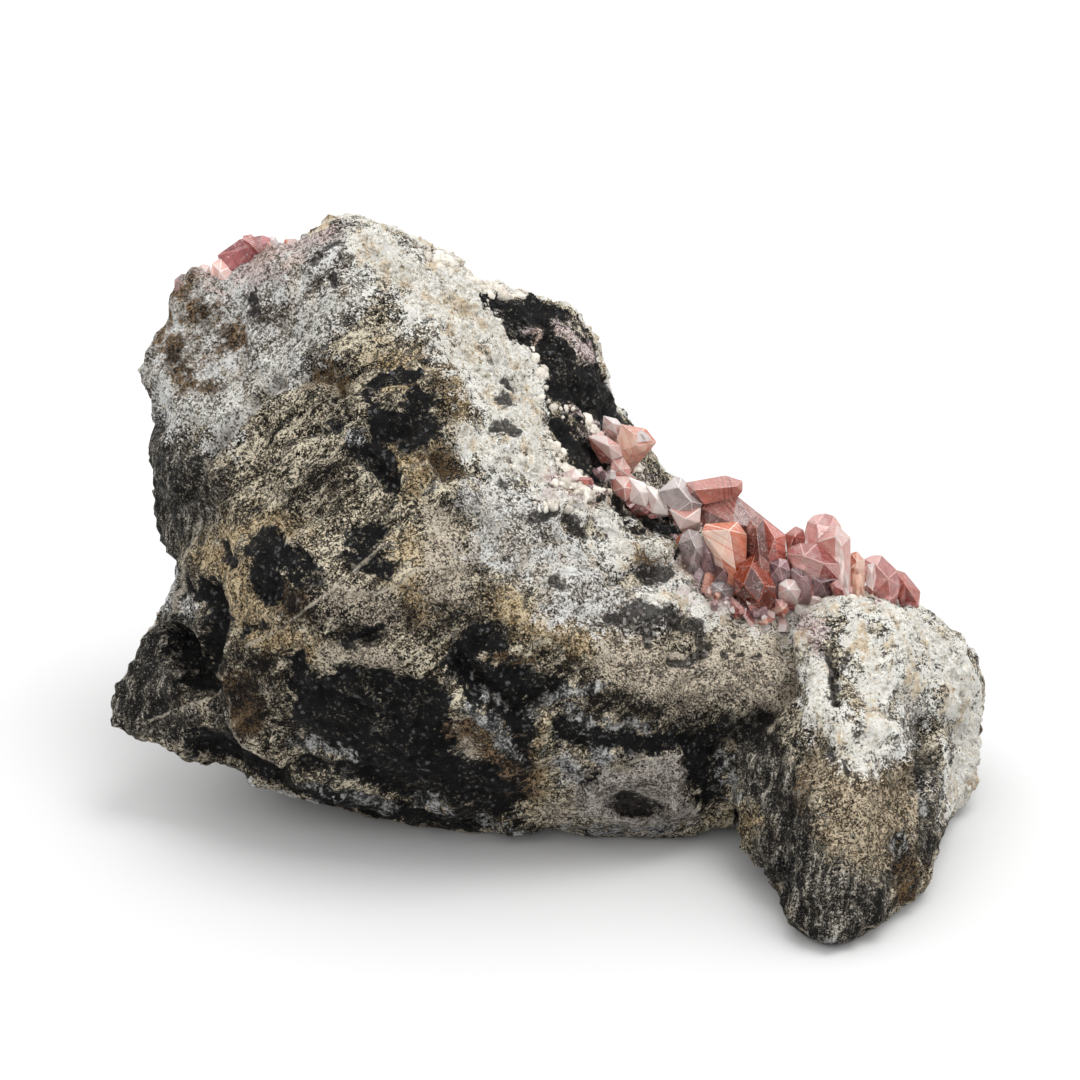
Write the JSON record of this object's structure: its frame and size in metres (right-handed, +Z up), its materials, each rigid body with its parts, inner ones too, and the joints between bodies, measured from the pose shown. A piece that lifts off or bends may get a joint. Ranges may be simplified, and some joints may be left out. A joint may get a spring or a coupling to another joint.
{
  "type": "rhodochrosite specimen",
  "caption": "Hand-sized lump of banded host rock with rose-red rhodochrosite crystals grown in a pocket on its shoulder.",
  "frame": {"origin": "middle of the specimen's bounding box, on the plane it rests on", "axes": "+Z up, +X to the right along the longest extent, -Y towards the viewer of the crystals"},
  "size_m": [0.1266, 0.09, 0.0815],
  "materials": {
    "host_rock": "rough, speckled grey-white, tan and black",
    "red_crystal": "glossy and translucent, red-brown",
    "rose_crystal": "glossy and translucent, rose",
    "salmon_crystal": "glossy and translucent, salmon",
    "pale_crystal": "glossy, milky pale pink",
    "mauve_crystal": "glossy, grey-mauve"
  },
  "bodies": {
    "root": {"matrix": "host_rock", "crystals_centre": "red_crystal", "crystals_right": "rose_crystal", "crystals_shoulder": "rose_crystal", "crystals_upper": "salmon_crystal", "crystals_pale": "pale_crystal", "crystals_rim": "mauve_crystal", "crystals_crown": "red_crystal", "crystals_corner": "rose_crystal"}
  },
  "joints": []
}
